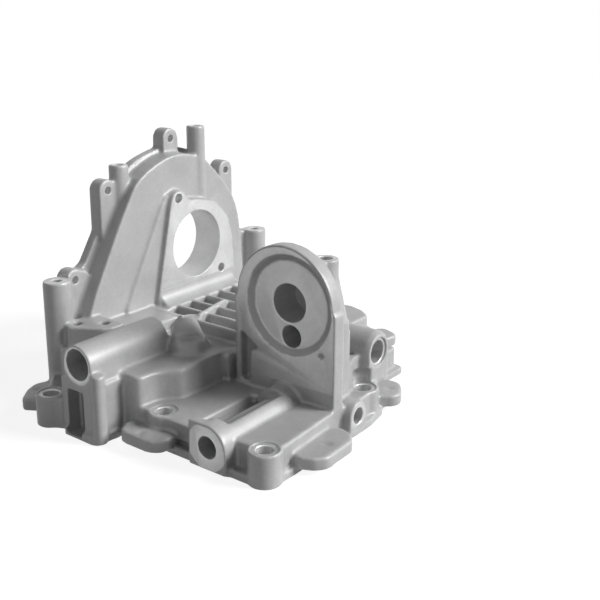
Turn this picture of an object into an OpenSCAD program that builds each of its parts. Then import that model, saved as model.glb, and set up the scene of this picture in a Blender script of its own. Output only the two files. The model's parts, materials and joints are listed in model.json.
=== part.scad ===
// Oil cooler housing: a one-piece aluminium casting, machined on its sealing faces.
// All lengths are millimetres. Frame: +Z up, +X to the right front, +Y to the back,
// origin on the base gasket face where its two inner sealing ribs cross.
// Outlines are shares of the base plan or of the tall cover's face, so they grow with them.

/* [Base] */
// width of the base plan, from the rim plane of the tall cover to the port side
base_w = 200; // [180:5:240]
// depth of the base plan, from the barrel side to the back
base_d = 250; // [230:5:290]
// height of the deck above the base gasket face
deck_z = 20.6; // [18:0.2:24]
// thickness of the flange lip around the base
lip_t = 4.8; // [3:0.2:7]
// underside of the plain side tabs
tab_low_z = 4; // [2:0.5:6]
// top of the plain side tabs
tab_top_z = 12.5; // [10:0.5:16]
// radius of the bosses round the through bolts
boss_r = 10.4; // [9.4:0.2:12]
// radius of the through bolt holes in the base
bolt_r = 5.3; // [4:0.1:6]
// radius of the spot faces on the bosses
spot_r = 8.6; // [7:0.1:9]
// depth of the spot faces
spot_d = 0.8; // [0.4:0.1:1.5]

/* [Underside] */
// ceiling of the cooler chamber
chamber_z = 35; // [33:0.5:37]
// ceiling of the front hollow round the low barrel
front_hollow_z = 16; // [13:0.5:17]
// ceiling of the oil gallery
gallery_z = 12; // [10:0.5:14]
// plane of the two cooler pads
cooler_pad_z = 18; // [14:0.5:22]
// radius of the oil nozzle holes in the cooler pads
nozzle_r = 7.5; // [5:0.1:9]
// radius of the screw holes in the cooler pads
pad_screw_r = 3.7; // [2.5:0.1:4.5]
// depth of the first nozzle hole in the cooler pads
nozzle_d = 14; // [13:0.5:15]
// depth of the first screw hole in the cooler pads
pad_screw_d = 12; // [10:0.5:12]

/* [Middle body] */
// top of the raised middle body
mid_z = 41; // [39:0.5:43]
// top of the body beside the long barrel
shoulder_z = 50; // [46:0.5:53]
// top of the ledge at the barrel side corner
ledge_z = 56.2; // [54:0.2:60]
// top of the ribs between the tall cover and the filter flange
rib_z = 50.6; // [47:0.2:54]
// thickness of the cast ribs
rib_t = 3; // [2:0.5:5]
// spacing of the cast ribs
rib_pitch = 15.6; // [13:0.2:16]

/* [Tall cover] */
// plane of the mating rim of the tall cover
rim_x = -116; // [-120:0.5:-115.5]
// thickness of the rim flange
rim_t = 8; // [6:0.5:10]
// width of the tall cover's face, which its outline follows
cover_w = 160; // [150:2:170]
// height of the tall cover's face, which its outline follows
cover_h = 160; // [156:1:172]
// outside of the front wall of the cover
front_x = -92.5; // [-95:0.5:-91]
// thickness of the front wall of the cover
wall_t = 5; // [4:0.5:7]
// thickness of the curved wall of the cover
shell_t = 6; // [4:0.5:7]
// machined plane of the pad round the opening
pad_x = -86.2; // [-88:0.2:-85]
// centre of the round opening, across
bore_y = 54.6; // [52:0.2:57]
// centre of the round opening, height
bore_z = 89.8; // [87:0.2:92]
// radius of the round opening
bore_r = 26; // [20:0.5:27]
// radius of the hub round the opening, on the inside of the cover
hub_r = 32; // [30:0.5:35]
// depth of the screw lugs, from the rim plane
lug_d = 12; // [9:0.5:15]
// radius of the screw lugs
lug_r = 8; // [6.5:0.5:9.5]
// radius of the screw holes in the lugs
lug_hole_r = 2.7; // [2:0.1:4]
// radius of the two round posts at the ends of the cover
corner_post_r = 9.5; // [9:0.1:11]
// top of the two round posts at the ends of the cover
corner_post_z = 85.5; // [78:0.5:92]
// radius of the two round posts on the cover
cover_post_r = 7; // [6:0.1:8]
// radius of the holes in the posts
post_hole_r = 3.6; // [2.5:0.1:4.5]
// depth of the hole in the first of the two posts at the ends
post_hole_d = 40; // [20:1:42]
// depth of the holes in the two posts on the cover
cover_post_hole_d = 18; // [10:1:19]

/* [Filter flange] */
// machined plane of the filter flange
filter_y = -6.8; // [-8:0.2:-6]
// thickness of the filter flange
filter_t = 11; // [9:0.5:12]
// left edge of the flange
filter_left_x = 3.6; // [2:0.2:6]
// right edge of the flange
filter_right_x = 84.2; // [82:0.2:87]
// centre of the round head of the flange, height
filter_z = 83.2; // [80:0.2:90]
// radius of the round head of the flange
filter_r = 38.4; // [36:0.2:40]
// outer radius of the sunk sealing ring
seal_r = 33.6; // [32:0.2:35]
// depth of the sunk sealing ring
seal_d = 3; // [2:0.5:5]
// radius of the main oil hole
oil_r = 12.9; // [11:0.1:13.5]
// radius of the second oil hole
oil2_r = 7.6; // [6:0.1:8]
// depth of the main oil hole
oil_d = 26; // [20:1:27]
// depth of the second oil hole
oil2_d = 24; // [18:1:25]
// radius of the neck behind the flange
neck_r = 8.6; // [7.5:0.1:9.5]
// top of the neck behind the flange
neck_z = 113; // [110:0.5:118]

/* [Barrels and ports] */
// axis of the long barrel, across
barrel_x = -46.6; // [-48:0.2:-45]
// axis of the long barrel, height
barrel_z = 49.3; // [48:0.1:51]
// outside radius of the long barrel
barrel_r = 13; // [12.5:0.1:14]
// bore radius of the long barrel
barrel_bore_r = 10.4; // [9:0.1:10.8]
// mouth plane of the long barrel
barrel_y = -100.2; // [-102:0.2:-99]
// axis of the low barrel, across
valve_x = 46.1; // [44:0.1:48]
// axis of the low barrel, height
valve_z = 15.1; // [14:0.1:16]
// radius of the low barrel's mouth
valve_r = 14.6; // [13.8:0.1:15]
// bore radius of the low barrel
valve_bore_r = 7.1; // [5:0.1:7.4]
// mouth plane of the low barrel
valve_y = -83.2; // [-85:0.2:-82]
// centre of the large side port, across
port_y = 55.5; // [54:0.5:57]
// centre of the large side port, height
port_z = 39.6; // [38:0.2:41]
// face of the large side port
port_x = 78.8; // [77:0.2:81]
// outside radius of the large side port
port_r = 12.6; // [11.6:0.2:13.4]
// bore radius of the large side port
port_bore_r = 8; // [6:0.1:8.6]
// centre of the low side port, across
low_port_y = 11.5; // [11:0.5:13]
// centre of the low side port, height
low_port_z = 12.9; // [12:0.1:14]
// face of the low side port
low_port_x = 91.3; // [90:0.1:94]
// outside radius of the low side port
low_port_r = 9.6; // [8.6:0.2:10.4]
// bore radius of the low side port
low_port_bore_r = 5.4; // [4:0.1:6]

/* [Hidden] */

// One overrun for all cuts, and how deep joined solids run into each other
over = 0.5;
sink = 0.3;

// Facets
fine_fn = 56;
round_fn = 32;
small_fn = 24;
corner_steps = 3;
curve_steps = 3;

// Radii of the cast corners
tab_round = 7;
soft_round = 4;
pad_round = 9;
foot_r = 10;

// Base plan, shares of base_w and base_d
base_share = [[0.41, -0.32], [0.447, -0.29], [0.449, -0.22], [0.452, -0.032], [0.444, 0.01],
  [0.456, 0.028], [0.456, 0.109], [0.44, 0.185], [0.35, 0.298], [0.31, 0.36], [0.313, 0.476],
  [0.228, 0.476], [0.175, 0.552], [0.03, 0.606], [-0.407, 0.602], [-0.542, 0.5],
  [rim_x / base_w, 0.346], [rim_x / base_w, -0.278], [-0.44, -0.398], [-0.392, -0.42],
  [-0.313, -0.39], [-0.3015, -0.394], [-0.3015, -0.412], [-0.15, -0.412], [-0.138, -0.339],
  [-0.144, -0.316], [-0.105, -0.32]];
deck_share = [[0.395, -0.292], [0.43, -0.276], [0.4365, -0.248],
  [(filter_right_x + sink) / base_w, -0.028], [0.425, 0.04],
  [0.435, 0.048], [0.435, 0.12], [0.42, 0.18], [0.33, 0.292], [0.29, 0.356], [0.29, 0.46],
  [0.215, 0.46], [0.16, 0.536], [0.03, 0.586], [-0.4, 0.586], [-0.525, 0.488], [-0.565, 0.344],
  [-0.565, -0.264], [-0.435, -0.376], [-0.395, -0.412], [-0.32, -0.396], [-0.155, -0.38],
  [-0.155, -0.308], [-0.06, -0.308], [0.015, -0.316], [0.07, -0.292]];
tab_shares = [
  [[0.43, -0.232], [0.5065, -0.204], [0.5315, -0.178], [0.5295, -0.072], [0.505, -0.044], [0.43, -0.02]],
  [[0.38, 0.155], [0.465, 0.212], [0.472, 0.238], [0.45, 0.272], [0.42, 0.304], [0.31, 0.292], [0.29, 0.24]],
  [[0.15, 0.53], [0.1735, 0.612], [0.1615, 0.634], [0.095, 0.656], [0.072, 0.64], [0.03, 0.57]],
  [[-0.38, 0.57], [-0.4595, 0.648], [-0.51, 0.676], [-0.576, 0.665], [-0.598, 0.643], [-0.596, 0.544],
    [-0.56, 0.49], [-0.48, 0.47]],
  [[-0.41, -0.37], [-0.5, -0.414], [-0.5175, -0.409], [-0.56, -0.368], [-0.583, -0.33], [-0.56, -0.27],
    [-0.48, -0.27]],
  [[0.089, -0.3], [0.078, -0.361], [0.0425, -0.378], [-0.068, -0.378], [-0.0855, -0.371],
    [-0.1055, -0.34], [-0.1055, -0.3]]];
tab_mark_share = [[0.482, -0.126], [0.42, 0.248], [-0.0135, -0.358], [-0.53, -0.352]];
tab_mark_r = 3;
tab_mark_d = 0.8;
bolt_share = [[0.402, -0.284], [-0.008, -0.279], [-0.398, -0.383], [0.39, 0.149], [0.145, 0.509],
  [0.004, 0.558]];
corner_hole_share = [[-0.5255, -0.258], [-0.47, 0.54]];
corner_hole_d = [17, 16];
corner_post_share = [[-0.5255, -0.264], [-0.47, 0.532]];

// Underside hollows and pads, shares of base_w and base_d.
// The blind holes of a kind differ in depth by hole_step, so that no two end in one plane.
front_hollow_share = [[0.39, -0.249], [0.39, -0.028], [0.0325, -0.028], [0.03, -0.245],
  [0.045, -0.268], [0.36, -0.27]];
gallery_share = [[0.3875, 0.026], [0.385, 0.112], [0.34, 0.132], [0.33, 0.156], [0.33, 0.178],
  [0.345, 0.2], [0.2375, 0.368], [0.222, 0.373], [0.193, 0.36], [0.1875, 0.195], [0.106, 0.127],
  [0.0375, 0.069], [0.028, 0.054], [0.03, 0.026]];
chamber_share = [[-0.095, -0.272], [-0.0925, -0.244], [-0.075, -0.226], [-0.042, -0.195],
  [-0.042, 0.032], [-0.029, 0.074], [0.04, 0.2],
  [0.13, 0.24], [0.14, 0.448], [0.11, 0.464], [0.06, 0.478], [-0.025, 0.468], [-0.075, 0.512],
  [-0.1, 0.562], [-0.39, 0.562], [-0.485, 0.484], [-0.53, 0.346], [-0.53, -0.202],
  [-0.481, -0.24], [-0.47, -0.272]];
groove_share = [[-0.2925, -0.322], [-0.3075, -0.341], [-0.3525, -0.35], [-0.3925, -0.324],
  [-0.43, -0.334], [-0.4475, -0.314], [-0.46, -0.328], [-0.4375, -0.354], [-0.399, -0.346],
  [-0.355, -0.374], [-0.295, -0.36], [-0.2775, -0.336]];
groove_d = 5;
left_pad_share = [[-0.042, -0.136], [-0.042, -0.086], [-0.07, -0.066], [-0.2025, -0.066],
  [-0.3225, -0.108], [-0.38, -0.135], [-0.38, -0.176], [-0.333, -0.199], [-0.2025, -0.199],
  [-0.1, -0.168]];
right_pad_share = [[-0.026, 0.467], [-0.04, 0.428], [-0.1335, 0.406], [-0.2215, 0.385],
  [-0.3535, 0.412], [-0.39, 0.428], [-0.4025, 0.468], [-0.39, 0.508], [-0.35, 0.522],
  [-0.22, 0.544], [-0.13, 0.536], [-0.04, 0.508]];
nozzle_share = [[-0.211, -0.134], [-0.221, 0.466]];
hole_step = 0.5;
pad_screw_share = [[-0.0945, -0.112], [-0.322, -0.156], [-0.089, 0.47], [-0.354, 0.468]];

// Ring bosses in the gallery and the large ring beside it
ring_x = 48.4;
ring_y = [17.9, 39.3];
ring_r = 12;
ring_bore_r = [8.1, 8.5];
ring_low_z = 1.5;
ring_bore_z = [40, 29];
ring_drill_r = 4.4;
ring_drill_z = 66;
insert_x = 14;
insert_y = 73.2;
insert_r = 18.8;
insert_bore_r = 12.5;
insert_low_z = 2;
insert_bore_z = 28;

// Passage and pocket under the long barrel
passage_y = -80.7;
passage_r = 8.1;
pocket_w = 14;
pocket_d = 9.4;
pocket_low_z = 2;
pocket_top_z = 31;
barrel_box_z = 38;
barrel_box_d = 30;
barrel_box_w = 33;
barrel_back_y = -31;
barrel_cap = 6;
barrel_deep_y = -52;
barrel_step_r = 7.4;
barrel_pin_r = 4.6;
barrel_pin_z = 46;

// Middle body, shares of base_w and base_d
mid_share = [[-0.022, 0], [-0.022, -0.2], [-0.06, -0.232], [-0.0725, -0.252], [-0.08, -0.31],
  [-0.32, -0.31], [-0.48, -0.296], [-0.56, -0.232], [-0.565, 0.344], [-0.525, 0.488],
  [-0.4, 0.586], [-0.085, 0.586], [-0.06, 0.528], [-0.02, 0.488], [0.06, 0.496], [0.12, 0.48],
  [0.17, 0.448], [0.17, 0]];
shoulder_share = [[-0.3, 0.024], [-0.3, -0.248], [-0.55, -0.236], [-0.565, 0.024]];
ledge_share = [[-0.5, -0.24], [-0.48, -0.274], [-0.455, -0.282], [-0.35, -0.232], [-0.33, -0.208],
  [-0.33, -0.16], [-0.5, -0.16]];
ledge_hole_share = [[-0.46, -0.245], [-0.391, -0.197]];
ledge_hole_r = 3.6;
ledge_hole_d = 18;
cross_rib_share = [[-0.224, 0.05], [-0.24, 0.047], [-0.283, 0.2], [-0.266, 0.202]];
cross_rib_up = 2;
mound_x = -25;
mound_y = -21;
mound_r = 15;
mound_top_r = 11;
stub_x = -50;
stub_y = 7.6;
stub_r = 7.4;
web_w = 4.6;
web_y = -10;
web_z = 39;
lattice_y = 4.8;
lattice_low_x = -95;
lattice_high_x = 10;
lattice_count = 6;
lattice_bed_x = -76;
lattice_bed_y = 86;
lattice_bed_d = 1;

// Deep slot under the tall cover, with its three bridge ribs
deep_low_x = -106;
deep_high_x = -76;
deep_y = [8, 106];
deep_roof_t = 6;
bridge_y = [22, 53.7, 85.5];
bridge_low_z = 22;
bridge_drop = 5;
side_slot_x = [-100.6, -82.2];
side_slot_y = [-46, -23.3];
side_slot_z = 46;

// Tall cover, shares of cover_w and cover_h
rim_foot_share = [[0.8125, 0.125], [-0.3625, 0.125], [-0.3625, 0.5], [-0.2875, 0.5375]];
rim_curve_share = [[-0.2375, 0.566], [-0.153, 0.7], [-0.075, 0.825], [0.0375, 0.953],
  [0.17, 1.006], [0.3125, 1.0225], [0.5, 0.969], [0.644, 0.85], [0.7625, 0.675], [0.8, 0.4375]];
shell_foot_share = [[0.7375, 0.125], [-0.3375, 0.125]];
shell_curve_share = [[-0.309, 0.353], [-0.2555, 0.467], [-0.1445, 0.67], [-0.059, 0.8125],
  [0.02, 0.915], [0.18, 0.9875], [0.3125, 0.996], [0.4375, 0.96], [0.5375, 0.878],
  [0.622, 0.7875], [0.679, 0.69], [0.7055, 0.575], [0.725, 0.375]];
inside_foot_share = [[0.7, 0.1875], [-0.294, 0.1875]];
front_pad_share = [[0.625, 0.275], [0.056, 0.275], [0.168, 0.772], [0.19, 0.835], [0.262, 0.835],
  [0.29, 0.78], [0.35, 0.778], [0.475, 0.75], [0.568, 0.66], [0.603, 0.55], [0.613, 0.4]];
wedge_share = [[-0.106, 0.275], [-0.1, 0.3375], [0.1375, 0.779], [0.169, 0.819], [0.206, 0.825],
  [0.0875, 0.275]];
wedge_t = 2.4;
pad_hole_share = [[0.224, 0.8], [0.5125, 0.402]];
pad_hole_r = 3.5;
pad_ear_r = 9;
lug_share = [[-0.316, 0.5125], [-0.105, 0.875], [0.294, 1.0625], [0.684, 0.86]];
lug_foot_share = [0.3125, 0.6625, 0.9375, 0.7];
long_lug_share = [[-0.3625, 0.1875], [-0.366, 0.5125], [-0.3125, 0.56], [-0.231, 0.5375],
  [-0.256, 0.456], [-0.294, 0.3375], [-0.294, 0.1875]];
// place across, low end and top of each post on the cover, and how far in from the rim plane it stands
cover_post_share = [[-0.0235, 0.7625, 0.981], [0.425, 0.7, 1.1155]];
cover_post_in = [9, 18];

// Filter flange
filter_foot_z = 12;
seal_x = 48;
seal_z = 83;
seal_slope = 4;
oil_x = 46.8;
oil_z = 83.6;
oil2_x = 48.5;
oil2_z = 61.4;
oil_back = 2;
oil_back_r = 19;
back_w = 66;
back_z = 72;
notch_x = 8.5;
notch_w = 8;
notch_low_z = 23.5;
notch_side_z = 45.5;
notch_tip_x = 22.8;
notch_tip_z = 48.6;
notch_top_z = 58;
notch_d = 7;
key_x = 73.2;
key_z = 54.4;
key_l = 8;
key_w = 1.6;
key_d = 2;
key_tilt = 40;
neck_x = 63;
neck_y = 12.5;
neck_foot_r = 15;
neck_foot_z = 71;
neck_cone_h = 30;
neck_hole_r = 4.6;
neck_hole_d = 16;

// Body behind the filter flange and round the ports, shares of base_w and base_d
rear_share = [[0.17, 0], [0.38, 0], [0.38, 0.1], [0.36, 0.14], [0.36, 0.222], [0.17, 0.222]];
rear_up = 1;
neck_body_share = [[0.17, 0], [0.38, 0], [0.38, 0.104], [0.17, 0.104]];
neck_body_z = 64;
port_foot_z = 17;
port_low_x = 30;
port_deep_x = 50;
port_ring_w = 2.2;
port_ring_d = 1.6;
port_drill_x = 64;
port_drill_y = 41.5;
port_drill_r = 4.2;
port_drill_low_z = 24;
low_port_deep_x = 70;

// Low barrel: a mouth flange, a slim core and a trough beside it that opens into the hollow
valve_mouth_t = 7;
valve_core_r = 10;
valve_deep_y = -20;
valve_back_y = -4;
valve_neck_l = 4;
valve_web_x = [4, 31];
valve_web_z = 9;
trough_x = 27.5;
trough_y = -17;
trough_z = 13;
trough_floor_x = 40;
trough_open_y = -34;

function plan(share) = [for (s = share) [s.x * base_w, s.y * base_d]];
function face(share) = [for (s = share) [s.x * cover_w, s.y * cover_h]];
function toward(a, b) = (b - a) / norm(b - a);

// Arc that replaces the corner p between a and b, cut short where an edge is too short for it
function arc(a, p, b, r) =
  let (u = toward(p, a), v = toward(p, b), half = acos(max(-1, min(1, u * v))) / 2,
    reach = min(r / tan(half), norm(a - p) / 2, norm(b - p) / 2),
    middle = p + toward([0, 0], u + v) * reach / cos(half),
    from = p + u * reach - middle, to = p + v * reach - middle, sweep = 180 - 2 * half)
  [for (i = [0 : corner_steps])
    middle + (from * sin(sweep * (1 - i / corner_steps)) + to * sin(sweep * i / corner_steps)) / sin(sweep)];
function rounded(line, r) = let (n = len(line))
  [for (i = [0 : n - 1]) each arc(line[(i + n - 1) % n], line[i], line[(i + 1) % n], r)];

// Smooth curve through all points of an open line
function between(a, b, c, d, t) =
  (2 * b + (c - a) * t + (2 * a - 5 * b + 4 * c - d) * t * t + (3 * b - a - 3 * c + d) * t * t * t) / 2;
function curve(line) = let (last = len(line) - 1)
  [for (i = [0 : last - 1], k = [0 : curve_steps - 1])
    between(line[max(i - 1, 0)], line[i], line[i + 1], line[min(i + 2, last)], k / curve_steps),
    line[last]];

// The same curve moved to its right by a wall thickness
function inset(line, t) = let (last = len(line) - 1)
  [for (i = [0 : last]) let (u = toward(line[max(i - 1, 0)], line[min(i + 1, last)]))
    line[i] + t * [u.y, -u.x]];

module slab(line, low, high) {
  translate([0, 0, low]) linear_extrude(height = high - low) polygon(line);
}

module slab_x(line, low, high) {
  translate([low, 0, 0]) rotate([90, 0, 90]) linear_extrude(height = high - low) polygon(line);
}

module slab_y(line, low, high) {
  translate([0, high, 0]) rotate([90, 0, 0]) linear_extrude(height = high - low) polygon(line);
}

module block(x, y, z) {
  translate([x[0], y[0], z[0]]) cube([x[1] - x[0], y[1] - y[0], z[1] - z[0]]);
}

module rod_x(y, z, r, low, high, facets = round_fn) {
  translate([low, y, z]) rotate([0, 90, 0]) cylinder(h = high - low, r = r, $fn = facets);
}

module rod_y(x, z, r, low, high, facets = round_fn) {
  translate([x, high, z]) rotate([90, 0, 0]) cylinder(h = high - low, r = r, $fn = facets);
}

module rod_z(x, y, r, low, high, facets = round_fn) {
  translate([x, y, low]) cylinder(h = high - low, r = r, $fn = facets);
}

module base_outside() {
  slab(rounded(plan(base_share), soft_round), 0, lip_t);
  slab(rounded(plan(deck_share), soft_round), lip_t - sink, deck_z);
  for (share = tab_shares) slab(rounded(plan(share), tab_round), tab_low_z, tab_top_z);
  for (b = plan(bolt_share)) rod_z(b.x, b.y, boss_r, 0, deck_z + sink);
}

module port_outside() {
  low_port_back_x = low_port_x - low_port_r;
  rod_x(low_port_y, low_port_z, low_port_r, low_port_back_x, low_port_x);
  block([low_port_back_x, low_port_x], [low_port_y - low_port_r, low_port_y + low_port_r],
    [sink, low_port_z]);
  slab(rounded(plan(rear_share), soft_round), lip_t, port_z + rear_up);
  slab(rounded(plan(neck_body_share), soft_round), lip_t, neck_body_z);
  rod_x(port_y, port_z, port_r, port_low_x, port_x);
  block([port_deep_x, port_x], [port_y - port_r, port_y + port_r], [port_foot_z, port_z]);
}

module lattice() {
  for (i = [0 : lattice_count - 1]) {
    y = lattice_y + rib_pitch * i;
    block([lattice_low_x, lattice_high_x], [y, y + rib_t], [mid_z - sink, rib_z]);
  }
  block([lattice_low_x, lattice_bed_x], [lattice_y, lattice_bed_y], [mid_z - sink, rib_z - lattice_bed_d]);
}

module middle_outside() {
  slab(rounded(plan(mid_share), soft_round), lip_t, mid_z);
  slab(rounded(plan(shoulder_share), soft_round), lip_t, shoulder_z);
  slab(rounded(plan(ledge_share), soft_round), lip_t, ledge_z);
  translate([mound_x, mound_y, mid_z - sink])
    cylinder(h = rib_z - mid_z, r1 = mound_r, r2 = mound_top_r, $fn = round_fn);
  rod_z(stub_x, stub_y, stub_r, mid_z - sink, rib_z);
  slab(plan(cross_rib_share), mid_z - sink, rib_z + cross_rib_up);
  web_x = mid_share[0].x * base_w;
  block([web_x - sink, web_x + web_w], [web_y, 0], [deck_z - sink, web_z]);
  lattice();
}

module long_barrel() {
  box_x = barrel_x - barrel_box_w / 2;
  block([box_x, box_x + barrel_box_w], [barrel_y, barrel_y + barrel_box_d], [sink, barrel_box_z]);
  rod_y(barrel_x, barrel_z, barrel_r, barrel_y, barrel_back_y, fine_fn);
  block([barrel_x - barrel_bore_r, barrel_x + barrel_bore_r], [barrel_y, barrel_back_y],
    [barrel_box_z - sink, barrel_z]);
  rod_z(box_x + barrel_box_w, barrel_y + barrel_pin_r / 2, barrel_pin_r, sink, barrel_pin_z, small_fn);
}

module low_barrel() {
  cone_y = filter_y - valve_neck_l;
  translate([valve_x, cone_y, valve_z]) rotate([90, 0, 0])
    cylinder(h = cone_y - valve_y, r1 = valve_core_r + sink, r2 = valve_r, $fn = fine_fn);
  rod_y(valve_x, valve_z, valve_r, valve_y, valve_y + valve_mouth_t, fine_fn);
  block([valve_x - valve_r, valve_x], [valve_y, valve_y + valve_mouth_t], [sink, valve_z + valve_r - sink]);
  block([valve_x - valve_r, valve_x + valve_r], [valve_y, valve_y + 2 * valve_mouth_t], [sink, valve_z]);
}

module screw_lugs() {
  lugs = face(lug_share);
  for (i = [0 : len(lugs) - 1]) {
    rod_x(lugs[i].x, lugs[i].y, lug_r, rim_x, rim_x + lug_d);
    block([rim_x, rim_x + lug_d], [lugs[i].x - lug_r, lugs[i].x + lug_r],
      [lug_foot_share[i] * cover_h, lugs[i].y]);
  }
  slab_x(rounded(face(long_lug_share), soft_round), rim_x, rim_x + lug_d);
}

module posts() {
  for (p = plan(corner_post_share)) rod_z(p.x, p.y, corner_post_r, 0, corner_post_z);
  for (i = [0 : len(cover_post_share) - 1])
    rod_z(rim_x + cover_post_in[i], cover_post_share[i].x * cover_w, cover_post_r,
      cover_post_share[i].y * cover_h, cover_post_share[i].z * cover_h);
}

// Concave foot that blends the pad round the opening into the ribs below it
module pad_foot() {
  low_y = front_pad_share[1].x * cover_w + foot_r / 2;
  high_y = front_pad_share[0].x * cover_w - foot_r / 2;
  difference() {
    block([pad_x - over, pad_x + foot_r], [low_y, high_y], [mid_z, rib_z + foot_r]);
    rod_y(pad_x + foot_r, rib_z + foot_r, foot_r, low_y - over, high_y + over);
  }
}

module tall_cover() {
  slab_x(concat(face(shell_foot_share), curve(face(shell_curve_share))), rim_x, front_x);
  slab_x(concat(face(rim_foot_share), curve(face(rim_curve_share))), rim_x, rim_x + rim_t);
  screw_lugs();
  posts();
  pad_foot();
  slab_x(face(wedge_share), front_x - sink, front_x + wedge_t);
  slab_x(rounded(face(front_pad_share), pad_round), front_x - sink, pad_x);
  ear = face(pad_hole_share)[1];
  rod_x(ear.x, ear.y, pad_ear_r, front_x - sink, pad_x);
}

module filter_flange() {
  middle_x = (filter_left_x + filter_right_x) / 2;
  intersection() {
    union() {
      rod_y(middle_x, filter_z, filter_r, filter_y, filter_y + filter_t, fine_fn);
      block([filter_left_x, filter_right_x], [filter_y, filter_y + filter_t], [filter_foot_z, filter_z]);
    }
    block([filter_left_x, filter_right_x], [filter_y - over, filter_y + filter_t + over], [0, filter_z * 2]);
  }
  block([middle_x - back_w / 2, middle_x + back_w / 2],
    [filter_y + filter_t - sink, filter_y + oil_d + oil_back], [lip_t, back_z]);
  rod_y(oil_x, oil_z, oil_back_r, filter_y + filter_t - sink, filter_y + oil_d + oil_back, fine_fn);
  rod_z(neck_x, neck_y, neck_r, lip_t, neck_z);
  translate([neck_x, neck_y, neck_foot_z])
    cylinder(h = neck_cone_h, r1 = neck_foot_r, r2 = neck_r, $fn = round_fn);
}

module outside() {
  base_outside();
  port_outside();
  middle_outside();
  long_barrel();
  low_barrel();
  tall_cover();
  filter_flange();
}

module hollows() {
  slab(rounded(plan(front_hollow_share), soft_round), -over, front_hollow_z);
  slab(rounded(plan(gallery_share), soft_round), -over, gallery_z);
  slab(rounded(plan(chamber_share), soft_round), -over, chamber_z);
  slab_x(concat(face(inside_foot_share), inset(curve(face(shell_curve_share)), shell_t)),
    rim_x - over, front_x - wall_t);
  block([deep_low_x, deep_high_x], deep_y, [chamber_z - over, rib_z - deep_roof_t]);
  block(side_slot_x, side_slot_y, [chamber_z - over, side_slot_z]);
  block([trough_x, valve_x], [valve_y + valve_mouth_t, trough_y], [trough_z, deck_z + valve_r]);
  block([trough_x, valve_x], [trough_open_y, trough_y], [valve_web_z, trough_z + over]);
}

module cooler_pads() {
  slab(rounded(plan(left_pad_share), soft_round), cooler_pad_z, chamber_z + sink);
  slab(rounded(plan(right_pad_share), soft_round), cooler_pad_z, chamber_z + sink);
}

module inner_features() {
  low_barrel_y = valve_y + valve_mouth_t - sink;
  rod_y(valve_x, valve_z, valve_core_r, low_barrel_y, valve_back_y, fine_fn);
  block(valve_web_x, [low_barrel_y, trough_open_y], [valve_web_z, trough_z]);
  block([valve_web_x[1] - over, trough_floor_x], [low_barrel_y, trough_open_y], [valve_web_z, trough_z]);
  block([valve_web_x[0], trough_x], [low_barrel_y, filter_y], [valve_web_z, deck_z - sink]);
  for (i = [0, 1]) rod_z(ring_x, ring_y[i], ring_r, ring_low_z, gallery_z + sink);
  rod_z(insert_x, insert_y, insert_r, insert_low_z, chamber_z + sink, fine_fn);
  cooler_pads();
  for (y = bridge_y)
    block([deep_low_x - sink, deep_high_x + sink], [y, y + rib_t], [bridge_low_z, rib_z - bridge_drop]);
  rod_x(bore_y, bore_z, hub_r, rim_x + rim_t / 2, front_x - wall_t + sink, fine_fn);
}

module bolt_holes() {
  for (b = plan(bolt_share)) {
    rod_z(b.x, b.y, bolt_r, -over, deck_z + boss_r, small_fn);
    rod_z(b.x, b.y, spot_r, deck_z + sink - spot_d, deck_z + boss_r);
  }
  blind = plan(corner_hole_share);
  for (i = [0 : len(blind) - 1]) rod_z(blind[i].x, blind[i].y, bolt_r, -over, corner_hole_d[i], small_fn);
  for (m = plan(tab_mark_share))
    rod_z(m.x, m.y, tab_mark_r, tab_top_z - tab_mark_d, tab_top_z + over, small_fn);
}

module cover_holes() {
  rod_x(bore_y, bore_z, bore_r, rim_x - over, pad_x + over, fine_fn);
  for (h = face(pad_hole_share)) rod_x(h.x, h.y, pad_hole_r, front_x - wall_t - over, pad_x + over, small_fn);
  for (l = face(lug_share)) rod_x(l.x, l.y, lug_hole_r, rim_x - over, rim_x + lug_d + over, small_fn);
  ends = plan(corner_post_share);
  for (i = [0 : len(ends) - 1])
    rod_z(ends[i].x, ends[i].y, post_hole_r, corner_post_z - post_hole_d + i * hole_step,
      corner_post_z + over, small_fn);
  for (i = [0 : len(cover_post_share) - 1]) {
    top = cover_post_share[i].z * cover_h;
    rod_z(rim_x + cover_post_in[i], cover_post_share[i].x * cover_w, post_hole_r,
      top - cover_post_hole_d, top + over, small_fn);
  }
}

module filter_holes() {
  translate([seal_x, filter_y - over, seal_z]) rotate([-90, 0, 0])
    cylinder(h = seal_d + over, r1 = seal_r, r2 = seal_r - seal_slope, $fn = fine_fn);
  rod_y(oil_x, oil_z, oil_r, filter_y, filter_y + oil_d, fine_fn);
  rod_y(oil2_x, oil2_z, oil2_r, filter_y, filter_y + oil2_d);
  slab_y([[notch_x, notch_low_z], [notch_x + notch_w, notch_low_z], [notch_x + notch_w, notch_side_z],
    [notch_tip_x, notch_tip_z], [notch_x, notch_top_z]], filter_y - over, filter_y + notch_d);
  translate([key_x, filter_y, key_z]) rotate([0, -key_tilt, 0])
    cube([key_l, key_d * 2, key_w], center = true);
  rod_z(neck_x, neck_y, neck_hole_r, neck_z - neck_hole_d, neck_z + over, small_fn);
}

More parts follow.
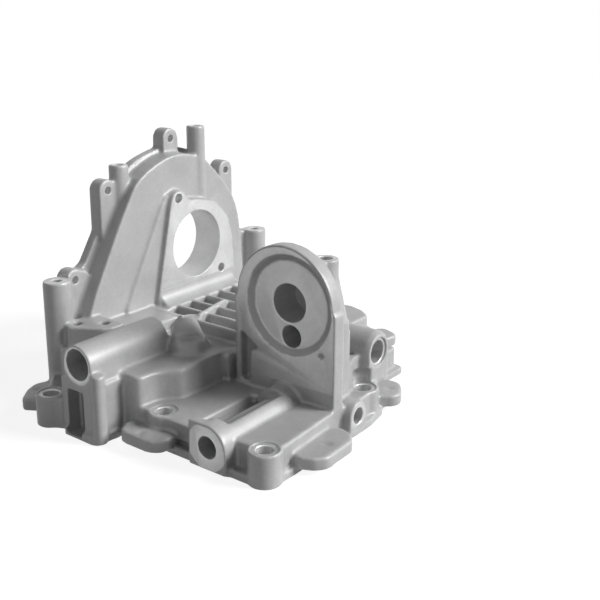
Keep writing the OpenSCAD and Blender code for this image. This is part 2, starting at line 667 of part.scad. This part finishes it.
module barrel_holes() {
  rod_y(barrel_x, barrel_z, barrel_bore_r, barrel_y - over, barrel_deep_y, fine_fn);
  rod_y(barrel_x, barrel_z, barrel_step_r, barrel_deep_y - over, barrel_back_y - barrel_cap);
  block([barrel_x - pocket_w / 2 - barrel_pin_r, barrel_x + pocket_w / 2 - barrel_pin_r],
    [barrel_y - over, barrel_y + pocket_d], [pocket_low_z, pocket_top_z]);
  rod_z(barrel_x, passage_y, passage_r, -over, barrel_z);
  slab(plan(groove_share), -over, groove_d);
  rod_y(valve_x, valve_z, valve_bore_r, valve_y - over, valve_deep_y);
  for (h = plan(ledge_hole_share))
    rod_z(h.x, h.y, ledge_hole_r, ledge_z - ledge_hole_d, ledge_z + over, small_fn);
}

module port_holes() {
  rod_x(low_port_y, low_port_z, low_port_bore_r, low_port_deep_x, low_port_x + over, small_fn);
  rod_x(port_y, port_z, port_bore_r, port_deep_x, port_x + over);
  rod_x(port_y, port_z, port_bore_r + port_ring_w, port_x - port_ring_d, port_x + over);
  rod_z(port_drill_x, port_drill_y, port_drill_r, port_drill_low_z, port_z + port_r, small_fn);
}

module underside_holes() {
  for (i = [0, 1]) rod_z(ring_x, ring_y[i], ring_bore_r[i], sink, ring_bore_z[i]);
  rod_z(ring_x, ring_y[1], ring_drill_r, ring_bore_z[1] - over, ring_drill_z, small_fn);
  rod_z(insert_x, insert_y, insert_bore_r, sink, insert_bore_z, fine_fn);
  nozzles = plan(nozzle_share);
  for (i = [0 : len(nozzles) - 1])
    rod_z(nozzles[i].x, nozzles[i].y, nozzle_r, cooler_pad_z - over, cooler_pad_z + nozzle_d + i * hole_step);
  screws = plan(pad_screw_share);
  for (i = [0 : len(screws) - 1])
    rod_z(screws[i].x, screws[i].y, pad_screw_r, cooler_pad_z - over,
      cooler_pad_z + pad_screw_d + i * hole_step, small_fn);
}

module housing() {
  color("silver")
  difference() {
    union() {
      difference() {
        outside();
        hollows();
      }
      inner_features();
    }
    bolt_holes();
    cover_holes();
    filter_holes();
    barrel_holes();
    port_holes();
    underside_holes();
  }
}

housing();
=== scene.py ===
"""Oil cooler housing: one aluminium casting with soft cast edges and crisp machined bores and faces.

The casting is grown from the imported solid: its bores are plugged, its gasket face gets stock and a few cast
forms are added or taken away. The whole is remeshed and smoothed like a die casting, and then every bore and
face is cut as it is on the real part. The places and radii of the bores come from the record's mounts, apart
from the two holes in the ledge.
"""
import json
import math

import bmesh
import bpy
from mathutils import Matrix, Vector
from mathutils.bvhtree import BVHTree


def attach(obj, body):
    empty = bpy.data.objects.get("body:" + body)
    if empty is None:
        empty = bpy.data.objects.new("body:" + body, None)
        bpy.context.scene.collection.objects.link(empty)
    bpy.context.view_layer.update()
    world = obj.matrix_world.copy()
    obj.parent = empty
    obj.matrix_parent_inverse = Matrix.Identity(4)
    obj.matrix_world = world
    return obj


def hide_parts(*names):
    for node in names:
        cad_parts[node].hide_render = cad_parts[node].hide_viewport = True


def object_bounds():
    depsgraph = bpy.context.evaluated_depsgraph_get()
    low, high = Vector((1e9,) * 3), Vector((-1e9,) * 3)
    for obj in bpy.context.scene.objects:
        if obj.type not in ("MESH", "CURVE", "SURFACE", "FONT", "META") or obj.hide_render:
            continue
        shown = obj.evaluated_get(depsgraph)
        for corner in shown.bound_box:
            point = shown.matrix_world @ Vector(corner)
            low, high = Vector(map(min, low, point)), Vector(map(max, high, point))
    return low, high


MM = 0.001
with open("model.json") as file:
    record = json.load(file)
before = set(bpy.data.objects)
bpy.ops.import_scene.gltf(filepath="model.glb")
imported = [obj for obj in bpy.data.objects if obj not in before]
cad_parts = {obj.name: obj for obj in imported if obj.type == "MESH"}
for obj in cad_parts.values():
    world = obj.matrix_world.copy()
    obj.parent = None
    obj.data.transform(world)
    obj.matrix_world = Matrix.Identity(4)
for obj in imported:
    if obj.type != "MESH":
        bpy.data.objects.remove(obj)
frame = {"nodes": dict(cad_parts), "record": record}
cad_box = [list(corner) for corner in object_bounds()]
housing = frame["nodes"]["housing"]
mounts = frame["record"]["mounts"]

# How the casting is grown
STOCK = 2.0 * MM
PLUG_GROWTH = 0.6 * MM
WELD = 0.001 * MM
ON_PLANE = 0.01 * MM
VOXEL = 0.9 * MM
SMOOTH_FACTOR = 0.5
SMOOTH_PASSES = 8
SOFT_PASSES = 30
TRIANGLES = 170000

# How it is machined
CHAMFER = 0.5 * MM
RUN_OUT = 0.3 * MM
DEEP_CUT = 0.6 * MM
FACE_CUT = 0.15 * MM
FACE_AIR = 4.0 * MM
MARGIN = 20.0 * MM
ROUND_SIDES = 64
MOUTH_RAYS = 8
MOUTH_RING = 1.0 * MM

# Material slots of the casting, and the edge angles in degrees that shading takes as flat and as sharp
CAST, MACHINED = 0, 1
FLAT_ANGLE = 1
SHARP_ANGLE = 35

# Radius of the face that is cut round a bore's mouth, and how deep it is sunk, by the start of its name
MOUTH_FACES = {
    "base_bolt": (8.6 * MM, 0.0),
    "post_hole": (9.8 * MM, FACE_CUT),
    "neck_hole": (8.2 * MM, FACE_CUT),
    "barrel_mouth": (13.3 * MM, FACE_CUT),
    "low_barrel_bore": (14.9 * MM, FACE_CUT),
    "low_side_port": (9.9 * MM, FACE_CUT),
    "large_side_port": (10.2 * MM, 0.0),
}

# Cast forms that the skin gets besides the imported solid, in millimetres. A prism has the axis that it is
# drawn out along, its low and high end, and its outline in the other two axes. A rod has its two ends and
# the radius at each.
ADDED_PRISMS = [
    ("y", -100.1, -76, [(-59.6, 0.5), (-30.3, 0.5), (-30.6, 28), (-33.7, 49.3), (-59.6, 49.3)]),
    ("y", -78, -31.4, [(-59.6, 38), (-33.7, 38), (-33.7, 49.3), (-59.6, 49.3)]),
    ("x", -115.5, -97, [(108, 20), (131, 20), (131, 84), (117, 86), (110, 70)]),
]
ADDED_RODS = [
    ((-26, -22, 40), (-26, -22, 47), 13.2, 13),
    ((-26, -22, 44), (-37, -12, 54), 13, 9),
    ((40, 56.5, 39.4), (75.4, 56.5, 39.4), 14.4, 14.4),
    ((46.1, -76, 15.1), (46.1, -6.6, 15.1), 14.5, 14.2),
]

# What is cut from the rough skin: the square pocket under the long barrel and the cut beside the low barrel
POCKET = ((-57.6, -108, 1.2), (-42.6, -90.2, 30.9))
CUT_PRISM = ("y", -71, -18, [
    (26.5, 13), (37, 13), (37.4, 17), (39.5, 21.5), (43, 23.2), (46, 23.8), (53.5, 28), (53.5, 40),
    (26.5, 40)])

# Lowest and highest corner of the middle body, where the cast corners are rounder, in millimetres
SOFT_STRETCH = ((-58, -82, 24), (4, -4, 60))

# Blind holes in the ledge beside the long barrel, which no mount states, in millimetres
LEDGE_HOLES = [(-92, -61.25), (-78.2, -49.25)]
LEDGE_HOLE_R = 3.6
LEDGE_HOLE_LOW, LEDGE_HOLE_HIGH = 38.2, 60

# The sunk floor of the filter flange: across and height of its centre, its reach, and its y from and to
RECESS_X, RECESS_Z = 47 * MM, 77 * MM
RECESS_REACH = 36 * MM
RECESS_Y = (-8 * MM, 0)

# Stretch of each flat face that is milled: lowest and highest corner, without the face's own axis
MILLED = {
    "filter_face": ((0.0, 31 * MM), (90 * MM, 125 * MM)),
    "bearing_pad_face": ((5 * MM, 61.5 * MM), (102 * MM, 140 * MM)),
    "rim_face": ((-75 * MM, 13 * MM), (145 * MM, 185 * MM)),
}

# Surface of both metals: noise scales per metre, depths of the grain and of the waves in the skin
CLOUD_SCALE, MOTTLE_SCALE, GRAIN_SCALE = 60.0, 420.0, 1300.0
CLOUD_DETAIL, FINE_DETAIL = 4.0, 3.0
GRAIN_DEPTH = 0.02 * MM
WAVE_DEPTH = 0.03 * MM
METAL_ROUGHNESS = 0.45
NOISE_BAND = (0.3, 0.7)
# Band of pointiness over which concave corners get darker as painted shade and convex edges get lighter as
# wear
WEAR_AND_CREASE_SHADE_BAND = (0.46, 0.54)

# Camera: place in metres, angles in degrees, lens and sensor in millimetres
CAMERA_PLACE = (0.3690, -0.4302, 0.2628)
CAMERA_DOWN = 15.03
CAMERA_TURN = 37.668
CAMERA_NEAR = 0.01
LENS = 53.17
SENSOR = 36
SHIFT_X = 0.0326
SHIFT_Y = -0.0848

# Light and floor. A lamp has the direction it shines from, its strength and its angle in degrees.
AMBIENT = 0.05
FLOOR_SIZE = 6.0
FLOOR_GAP = 0.2 * MM
FLOOR_TONE = 0.35
FLOOR_GLOW = 0.87
KEY_LIGHT = ((0.76, 0.42, 0.50), 3.2, 25)
FILL_LIGHT = ((-0.35, -0.70, 0.62), 0.1, 40)


def axis_frame(point, axis):
    """A matrix that carries +Z to the axis and the origin to the point."""
    turn = Vector(axis).to_track_quat("Z", "Y").to_matrix().to_4x4()
    return Matrix.Translation(Vector(point)) @ turn


def lathe(bm, profile, place, material):
    """Closed solid of revolution: profile is a list of (radius, height) from the low end to the high end."""
    rings = []
    for radius, height in profile:
        ring = []
        for i in range(ROUND_SIDES):
            a = 2 * math.pi * i / ROUND_SIDES
            ring.append(bm.verts.new(place @ Vector((radius * math.cos(a), radius * math.sin(a), height))))
        rings.append(ring)
    faces = [bm.faces.new(list(reversed(rings[0]))), bm.faces.new(rings[-1])]
    for low, high in zip(rings, rings[1:]):
        for i in range(ROUND_SIDES):
            j = (i + 1) % ROUND_SIDES
            faces.append(bm.faces.new((low[i], low[j], high[j], high[i])))
    for face in faces:
        face.material_index = material


def box(bm, low, high, material):
    """Closed box between two corners."""
    size = [h - l for l, h in zip(low, high)]
    centre = [(h + l) / 2 for l, h in zip(low, high)]
    place = Matrix.Translation(centre) @ Matrix.Diagonal((*size, 1))
    made = bmesh.ops.create_cube(bm, size=1, matrix=place)
    for face in {f for v in made["verts"] for f in v.link_faces}:
        face.material_index = material


def prism(bm, axis, low, high, outline):
    """Closed solid of an outline drawn out along an axis, all in millimetres."""
    along = "xyz".index(axis)
    right_handed = along != 1

    def corner(pair, end):
        place = list(pair)
        place.insert(along, end)
        return bm.verts.new(Vector(place) * MM)

    ends = [[corner(pair, end) for pair in outline] for end in (low, high)]
    area = sum(a[0] * b[1] - b[0] * a[1] for a, b in zip(outline, outline[1:] + outline[:1]))
    if (area > 0) != right_handed:
        ends.reverse()
    first, last = ends
    bm.faces.new(list(reversed(first)))
    bm.faces.new(last)
    for i in range(len(outline)):
        j = (i + 1) % len(outline)
        bm.faces.new((first[i], first[j], last[j], last[i]))


def rod(bm, start, end, start_radius, end_radius):
    """Straight or tapered round solid between two points, all in millimetres."""
    direction = Vector(end) - Vector(start)
    profile = [(start_radius * MM, 0), (end_radius * MM, direction.length * MM)]
    lathe(bm, profile, axis_frame(Vector(start) * MM, direction), CAST)


def add_object(name, bm):
    mesh = bpy.data.meshes.new(name)
    bm.to_mesh(mesh)
    bm.free()
    made = bpy.data.objects.new(name, mesh)
    bpy.context.scene.collection.objects.link(made)
    return made


def bake_modifiers(target):
    """Replaces an object's mesh by what its modifiers give."""
    graph = bpy.context.evaluated_depsgraph_get()
    mesh = bpy.data.meshes.new_from_object(target.evaluated_get(graph))
    target.modifiers.clear()
    target.data = mesh


def round_mounts():
    return [m for m in mounts if "r_mm" in m["dims"]]


def half_length(m):
    return m["dims"]["length_mm"] * MM / 2


def rough_casting():
    """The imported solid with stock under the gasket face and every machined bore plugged."""
    bm = bmesh.new()
    bm.from_mesh(housing.data)
    bmesh.ops.remove_doubles(bm, verts=bm.verts, dist=WELD)
    down = [f for f in bm.faces if f.normal.z < -0.999 and abs(f.calc_center_median().z) < ON_PLANE]
    pulled = bmesh.ops.extrude_face_region(bm, geom=down)
    moved = [v for v in pulled["geom"] if isinstance(v, bmesh.types.BMVert)]
    bmesh.ops.translate(bm, verts=moved, vec=(0, 0, -STOCK))
    bmesh.ops.delete(bm, geom=down, context="FACES")
    for m in round_mounts():
        r = m["dims"]["r_mm"] * MM + PLUG_GROWTH
        half = half_length(m)
        lathe(bm, [(r, -half), (r, half)], axis_frame(m["pos_m"], m["axis"]), CAST)
    for form in ADDED_PRISMS:
        prism(bm, *form)
    for form in ADDED_RODS:
        rod(bm, *form)
    return add_object("casting", bm)


def even_mesh(target):
    """One closed skin of evenly spaced faces."""
    remesh = target.modifiers.new("remesh", "REMESH")
    remesh.mode = "VOXEL"
    remesh.voxel_size = VOXEL
    bake_modifiers(target)


def soften(target):
    """Soft edges and fillets all over, as a die casting has, on a mesh of a steady size."""
    even_mesh(target)
    bm = bmesh.new()
    box(bm, *([v * MM for v in corner] for corner in POCKET), CAST)
    prism(bm, *CUT_PRISM)
    cut(target, "form_cut", bm)
    even_mesh(target)
    soft = target.vertex_groups.new(name="soft")
    low, high = SOFT_STRETCH
    inside = [v.index for v in target.data.vertices
              if all(l * MM < c < h * MM for c, l, h in zip(v.co, low, high))]
    soft.add(inside, 1.0, "REPLACE")
    round_off = target.modifiers.new("round_off", "SMOOTH")
    round_off.factor = SMOOTH_FACTOR
    round_off.iterations = SOFT_PASSES
    round_off.vertex_group = soft.name
    smooth = target.modifiers.new("smooth", "SMOOTH")
    smooth.factor = SMOOTH_FACTOR
    smooth.iterations = SMOOTH_PASSES
    thin = target.modifiers.new("thin", "DECIMATE")
    thin.ratio = TRIANGLES / (2 * len(target.data.polygons))
    bake_modifiers(target)


def cut(target, name, bm):
    """Takes the closed solids in bm out of the target, with their material on the cut faces."""
    cutter = add_object(name, bm)
    for holder in (target, cutter):
        while len(holder.data.materials) < 2:
            holder.data.materials.append(None)
    tool = target.modifiers.new(name, "BOOLEAN")
    tool.operation = "DIFFERENCE"
    tool.solver = "MANIFOLD"
    tool.object = cutter
    bake_modifiers(target)
    bpy.data.objects.remove(cutter)


def mouth_height(tree, m):
    """How far a bore's mouth lies from the mount's place, along its axis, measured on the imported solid."""
    place = axis_frame(m["pos_m"], m["axis"])
    half = half_length(m)
    radius = m["dims"]["r_mm"] * MM + MOUTH_RING
    start = half + FACE_AIR
    heights = []
    for i in range(MOUTH_RAYS):
        a = 2 * math.pi * (i + 0.5) / MOUTH_RAYS
        point = place @ Vector((radius * math.cos(a), radius * math.sin(a), start))
        hit = tree.ray_cast(point, -Vector(m["axis"]))
        if hit[0] is not None:
            heights.append(start - hit[3])
    heights.sort()
    return heights[len(heights) // 2] if heights else half


def bore_profile(m, mouth):
    """The tool's outline for one bore: bore, chamfer, and the face round its mouth where it has one."""
    r = m["dims"]["r_mm"] * MM
    low = -half_length(m) - DEEP_CUT
    for start, (face_r, sunk) in MOUTH_FACES.items():
        if m["name"].startswith(start):
            floor = mouth - sunk
            bore = [(r, low), (r, floor - CHAMFER), (r + CHAMFER, floor)]
            return bore + [(face_r, floor), (face_r, floor + FACE_AIR)]
    return [(r, low), (r, mouth - CHAMFER), (r + CHAMFER + RUN_OUT, mouth + RUN_OUT)]


def milling_box(m):
    """The space in front of a flat face that the mill takes away."""
    along = max(range(3), key=lambda k: abs(m["axis"][k]))
    low, high = (list(corner) for corner in MILLED[m["name"]])
    plane = m["pos_m"][along] - m["axis"][along] * FACE_CUT
    ends = sorted((plane, plane + m["axis"][along] * MARGIN))
    low.insert(along, ends[0])
    high.insert(along, ends[1])
    return low, high


def machine(target):
    """Faces the gasket side and the flat faces, then cuts every bore, one direction at a time."""
    low, high = (Vector(corner) for corner in cad_box)
    bm = bmesh.new()
    box(bm, low - Vector((MARGIN, MARGIN, MARGIN)), (high.x + MARGIN, high.y + MARGIN, 0), MACHINED)
    cut(target, "gasket_cut", bm)
    bm = bmesh.new()
    for m in mounts:
        if m["name"] in MILLED:
            box(bm, *milling_box(m), MACHINED)
    cut(target, "face_cut", bm)
    solid = housing.data
    tree = BVHTree.FromPolygons([v.co for v in solid.vertices], [p.vertices for p in solid.polygons])
    for direction in range(3):
        bm = bmesh.new()
        for m in round_mounts():
            if abs(m["axis"][direction]) > 0.5:
                place = axis_frame(m["pos_m"], m["axis"])
                lathe(bm, bore_profile(m, mouth_height(tree, m)), place, MACHINED)
        if direction == 2:
            for x, y in LEDGE_HOLES:
                rod(bm, (x, y, LEDGE_HOLE_LOW), (x, y, LEDGE_HOLE_HIGH), LEDGE_HOLE_R, LEDGE_HOLE_R)
        cut(target, "bore_cut_%d" % direction, bm)


def merge_flats(target):
    """Joins the flat pieces of each milled face, so that no sliver breaks its even shading."""
    bm = bmesh.new()
    bm.from_mesh(target.data)
    flats = [e for e in bm.edges if all(f.material_index == MACHINED for f in e.link_faces)]
    verts = [v for v in bm.verts if all(f.material_index == MACHINED for f in v.link_faces)]
    bmesh.ops.dissolve_limit(bm, angle_limit=math.radians(FLAT_ANGLE), use_dissolve_boundaries=False,
                             verts=verts, edges=flats, delimit={"MATERIAL"})
    bm.to_mesh(target.data)
    bm.free()


def mark_sunk_faces(target):
    """Gives the cooler chamber's two pads and the filter flange's sunk floor the machined finish."""
    pad_z = next(m for m in mounts if m["name"] == "left_cooler_pad")["pos_m"][2]
    for face in target.data.polygons:
        place, normal = face.center, face.normal
        away = math.hypot(place.x - RECESS_X, place.z - RECESS_Z)
        on_pad = normal.z < -0.98 and abs(place.z - pad_z) < FACE_CUT
        on_recess = normal.y < -0.97 and away < RECESS_REACH and RECESS_Y[0] < place.y < RECESS_Y[1]
        if on_pad or on_recess:
            face.material_index = MACHINED


def add_node(tree, kind, inputs=None, **settings):
    """A shader node with its settings, and its inputs set to a value or linked to a socket."""
    made = tree.nodes.new(kind)
    for name, value in settings.items():
        setattr(made, name, value)
    for name, value in (inputs or {}).items():
        if isinstance(value, bpy.types.NodeSocket):
            tree.links.new(value, made.inputs[name])
        else:
            made.inputs[name].default_value = value
    return made


def spread(tree, value, low, high, to_low, to_high):
    """A value carried from one range to another."""
    inputs = {"Value": value, "From Min": low, "From Max": high, "To Min": to_low, "To Max": to_high}
    return add_node(tree, "ShaderNodeMapRange", inputs).outputs["Result"]


def product(tree, a, b):
    return add_node(tree, "ShaderNodeMath", {0: a, 1: b}, operation="MULTIPLY").outputs[0]


def swing(tree, value, band, low, high):
    """A factor that goes from low to high over a band of the value."""
    return spread(tree, value, *band, low, high)


def noise(tree, place, scale, detail):
    inputs = {"Vector": place, "Scale": scale, "Detail": detail}
    return add_node(tree, "ShaderNodeTexNoise", inputs).outputs["Fac"]


def metal(name, colour, metallic):
    """Aluminium with mottled tone, lighter worn edges, painted shade that darkens its concave corners, and a
    fine surface grain.
    """
    material = bpy.data.materials.new(name)
    material.use_nodes = True
    tree = material.node_tree
    shader = tree.nodes["Principled BSDF"]
    place = add_node(tree, "ShaderNodeTexCoord").outputs["Object"]
    cloud = noise(tree, place, CLOUD_SCALE, CLOUD_DETAIL)
    mottle = noise(tree, place, MOTTLE_SCALE, FINE_DETAIL)
    grain = noise(tree, place, GRAIN_SCALE, FINE_DETAIL)
    edge_wear_and_crease_shade = add_node(tree, "ShaderNodeNewGeometry").outputs["Pointiness"]
    tone = swing(tree, cloud, NOISE_BAND, 0.93, 1.06)
    tone = product(tree, tone, swing(tree, mottle, NOISE_BAND, 0.96, 1.04))
    tone = product(tree, tone, swing(tree, grain, NOISE_BAND, 0.96, 1.04))
    # Pointiness scales the tone: lighter on convex edges as wear, darker in concave corners and creases as
    # painted shade
    tone = product(tree, tone, swing(tree, edge_wear_and_crease_shade, WEAR_AND_CREASE_SHADE_BAND, 0.86, 1.16))
    tint = add_node(tree, "ShaderNodeVectorMath", {0: colour, "Scale": tone}, operation="SCALE").outputs[0]
    rough = swing(tree, mottle, NOISE_BAND, 0.88, 1.12)
    rough = product(tree, rough, swing(tree, cloud, NOISE_BAND, 0.92, 1.08))
    rough = spread(tree, rough, 0.0, 1.0, 0.0, METAL_ROUGHNESS)
    fine = add_node(tree, "ShaderNodeBump", {"Height": grain, "Distance": GRAIN_DEPTH, "Strength": 1.0})
    coarse = add_node(tree, "ShaderNodeBump", {
        "Height": mottle, "Distance": WAVE_DEPTH, "Strength": 1.0, "Normal": fine.outputs["Normal"]})
    tree.links.new(tint, shader.inputs["Base Color"])
    tree.links.new(rough, shader.inputs["Roughness"])
    tree.links.new(coarse.outputs["Normal"], shader.inputs["Normal"])
    shader.inputs["Metallic"].default_value = metallic
    return material


def see_through_rays(tree):
    """One for camera, glossy and transmission rays, nought for the rays that light the object."""
    path = add_node(tree, "ShaderNodeLightPath").outputs
    seen = add_node(tree, "ShaderNodeMath", {0: path["Is Camera Ray"], 1: path["Is Glossy Ray"]},
                    operation="MAXIMUM").outputs[0]
    return add_node(tree, "ShaderNodeMath", {0: seen, 1: path["Is Transmission Ray"]},
                    operation="MAXIMUM").outputs[0]


def add_world():
    """White to the camera and in reflections, and a low even light on the object."""
    world = bpy.data.worlds.new("studio")
    world.use_nodes = True
    tree = world.node_tree
    strength = spread(tree, see_through_rays(tree), 0.0, 1.0, AMBIENT, 1.0)
    tree.links.new(strength, tree.nodes["Background"].inputs["Strength"])
    tree.nodes["Background"].inputs["Color"].default_value = (1, 1, 1, 1)
    bpy.context.scene.world = world


def add_sun(name, toward, strength, angle):
    """A soft lamp far away that shines from the given direction."""
    data = bpy.data.lights.new(name, "SUN")
    data.energy = strength
    data.angle = math.radians(angle)
    lamp = bpy.data.objects.new(name, data)
    lamp.rotation_euler = Vector(toward).to_track_quat("Z", "Y").to_euler()
    bpy.context.scene.collection.objects.link(lamp)


def add_floor():
    """A pale floor that reads white and keeps the object's shadow."""
    bm = bmesh.new()
    bmesh.ops.create_grid(bm, x_segments=1, y_segments=1, size=FLOOR_SIZE / 2)
    bmesh.ops.translate(bm, verts=bm.verts, vec=(0, 0, cad_box[0][2] - FLOOR_GAP))
    floor = add_object("floor", bm)
    material = bpy.data.materials.new("floor")
    material.use_nodes = True
    tree = material.node_tree
    tree.nodes.clear()
    paint = add_node(tree, "ShaderNodeBsdfDiffuse", {"Color": (FLOOR_TONE, FLOOR_TONE, FLOOR_TONE, 1)})
    strength = spread(tree, see_through_rays(tree), 0.0, 1.0, 0.0, FLOOR_GLOW)
    glow = add_node(tree, "ShaderNodeEmission", {"Color": (1, 1, 1, 1), "Strength": strength})
    both = add_node(tree, "ShaderNodeAddShader", {0: paint.outputs[0], 1: glow.outputs[0]})
    add_node(tree, "ShaderNodeOutputMaterial", {"Surface": both.outputs[0]})
    floor.data.materials.append(material)


def add_camera():
    """The photograph's view, for a square frame."""
    data = bpy.data.cameras.new("camera")
    data.sensor_width = SENSOR
    data.lens = LENS
    data.shift_x = SHIFT_X
    data.shift_y = SHIFT_Y
    data.clip_start = CAMERA_NEAR
    camera = bpy.data.objects.new("camera", data)
    camera.location = CAMERA_PLACE
    camera.rotation_euler = (math.radians(90 - CAMERA_DOWN), 0, math.radians(CAMERA_TURN))
    bpy.context.scene.collection.objects.link(camera)
    bpy.context.scene.camera = camera


bpy.context.scene.view_settings.view_transform = "Standard"
add_camera()
add_world()
add_sun("key", *KEY_LIGHT)
add_sun("fill", *FILL_LIGHT)
add_floor()

casting = rough_casting()
soften(casting)
machine(casting)
mark_sunk_faces(casting)
merge_flats(casting)
casting.data.materials[CAST] = metal("cast_aluminium", (0.50, 0.50, 0.503), 0.1)
casting.data.materials[MACHINED] = metal("machined_aluminium", (0.60, 0.60, 0.603), 0.45)
casting.data.shade_smooth()
casting.data.set_sharp_from_angle(angle=math.radians(SHARP_ANGLE))
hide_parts("housing")
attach(casting, "root")
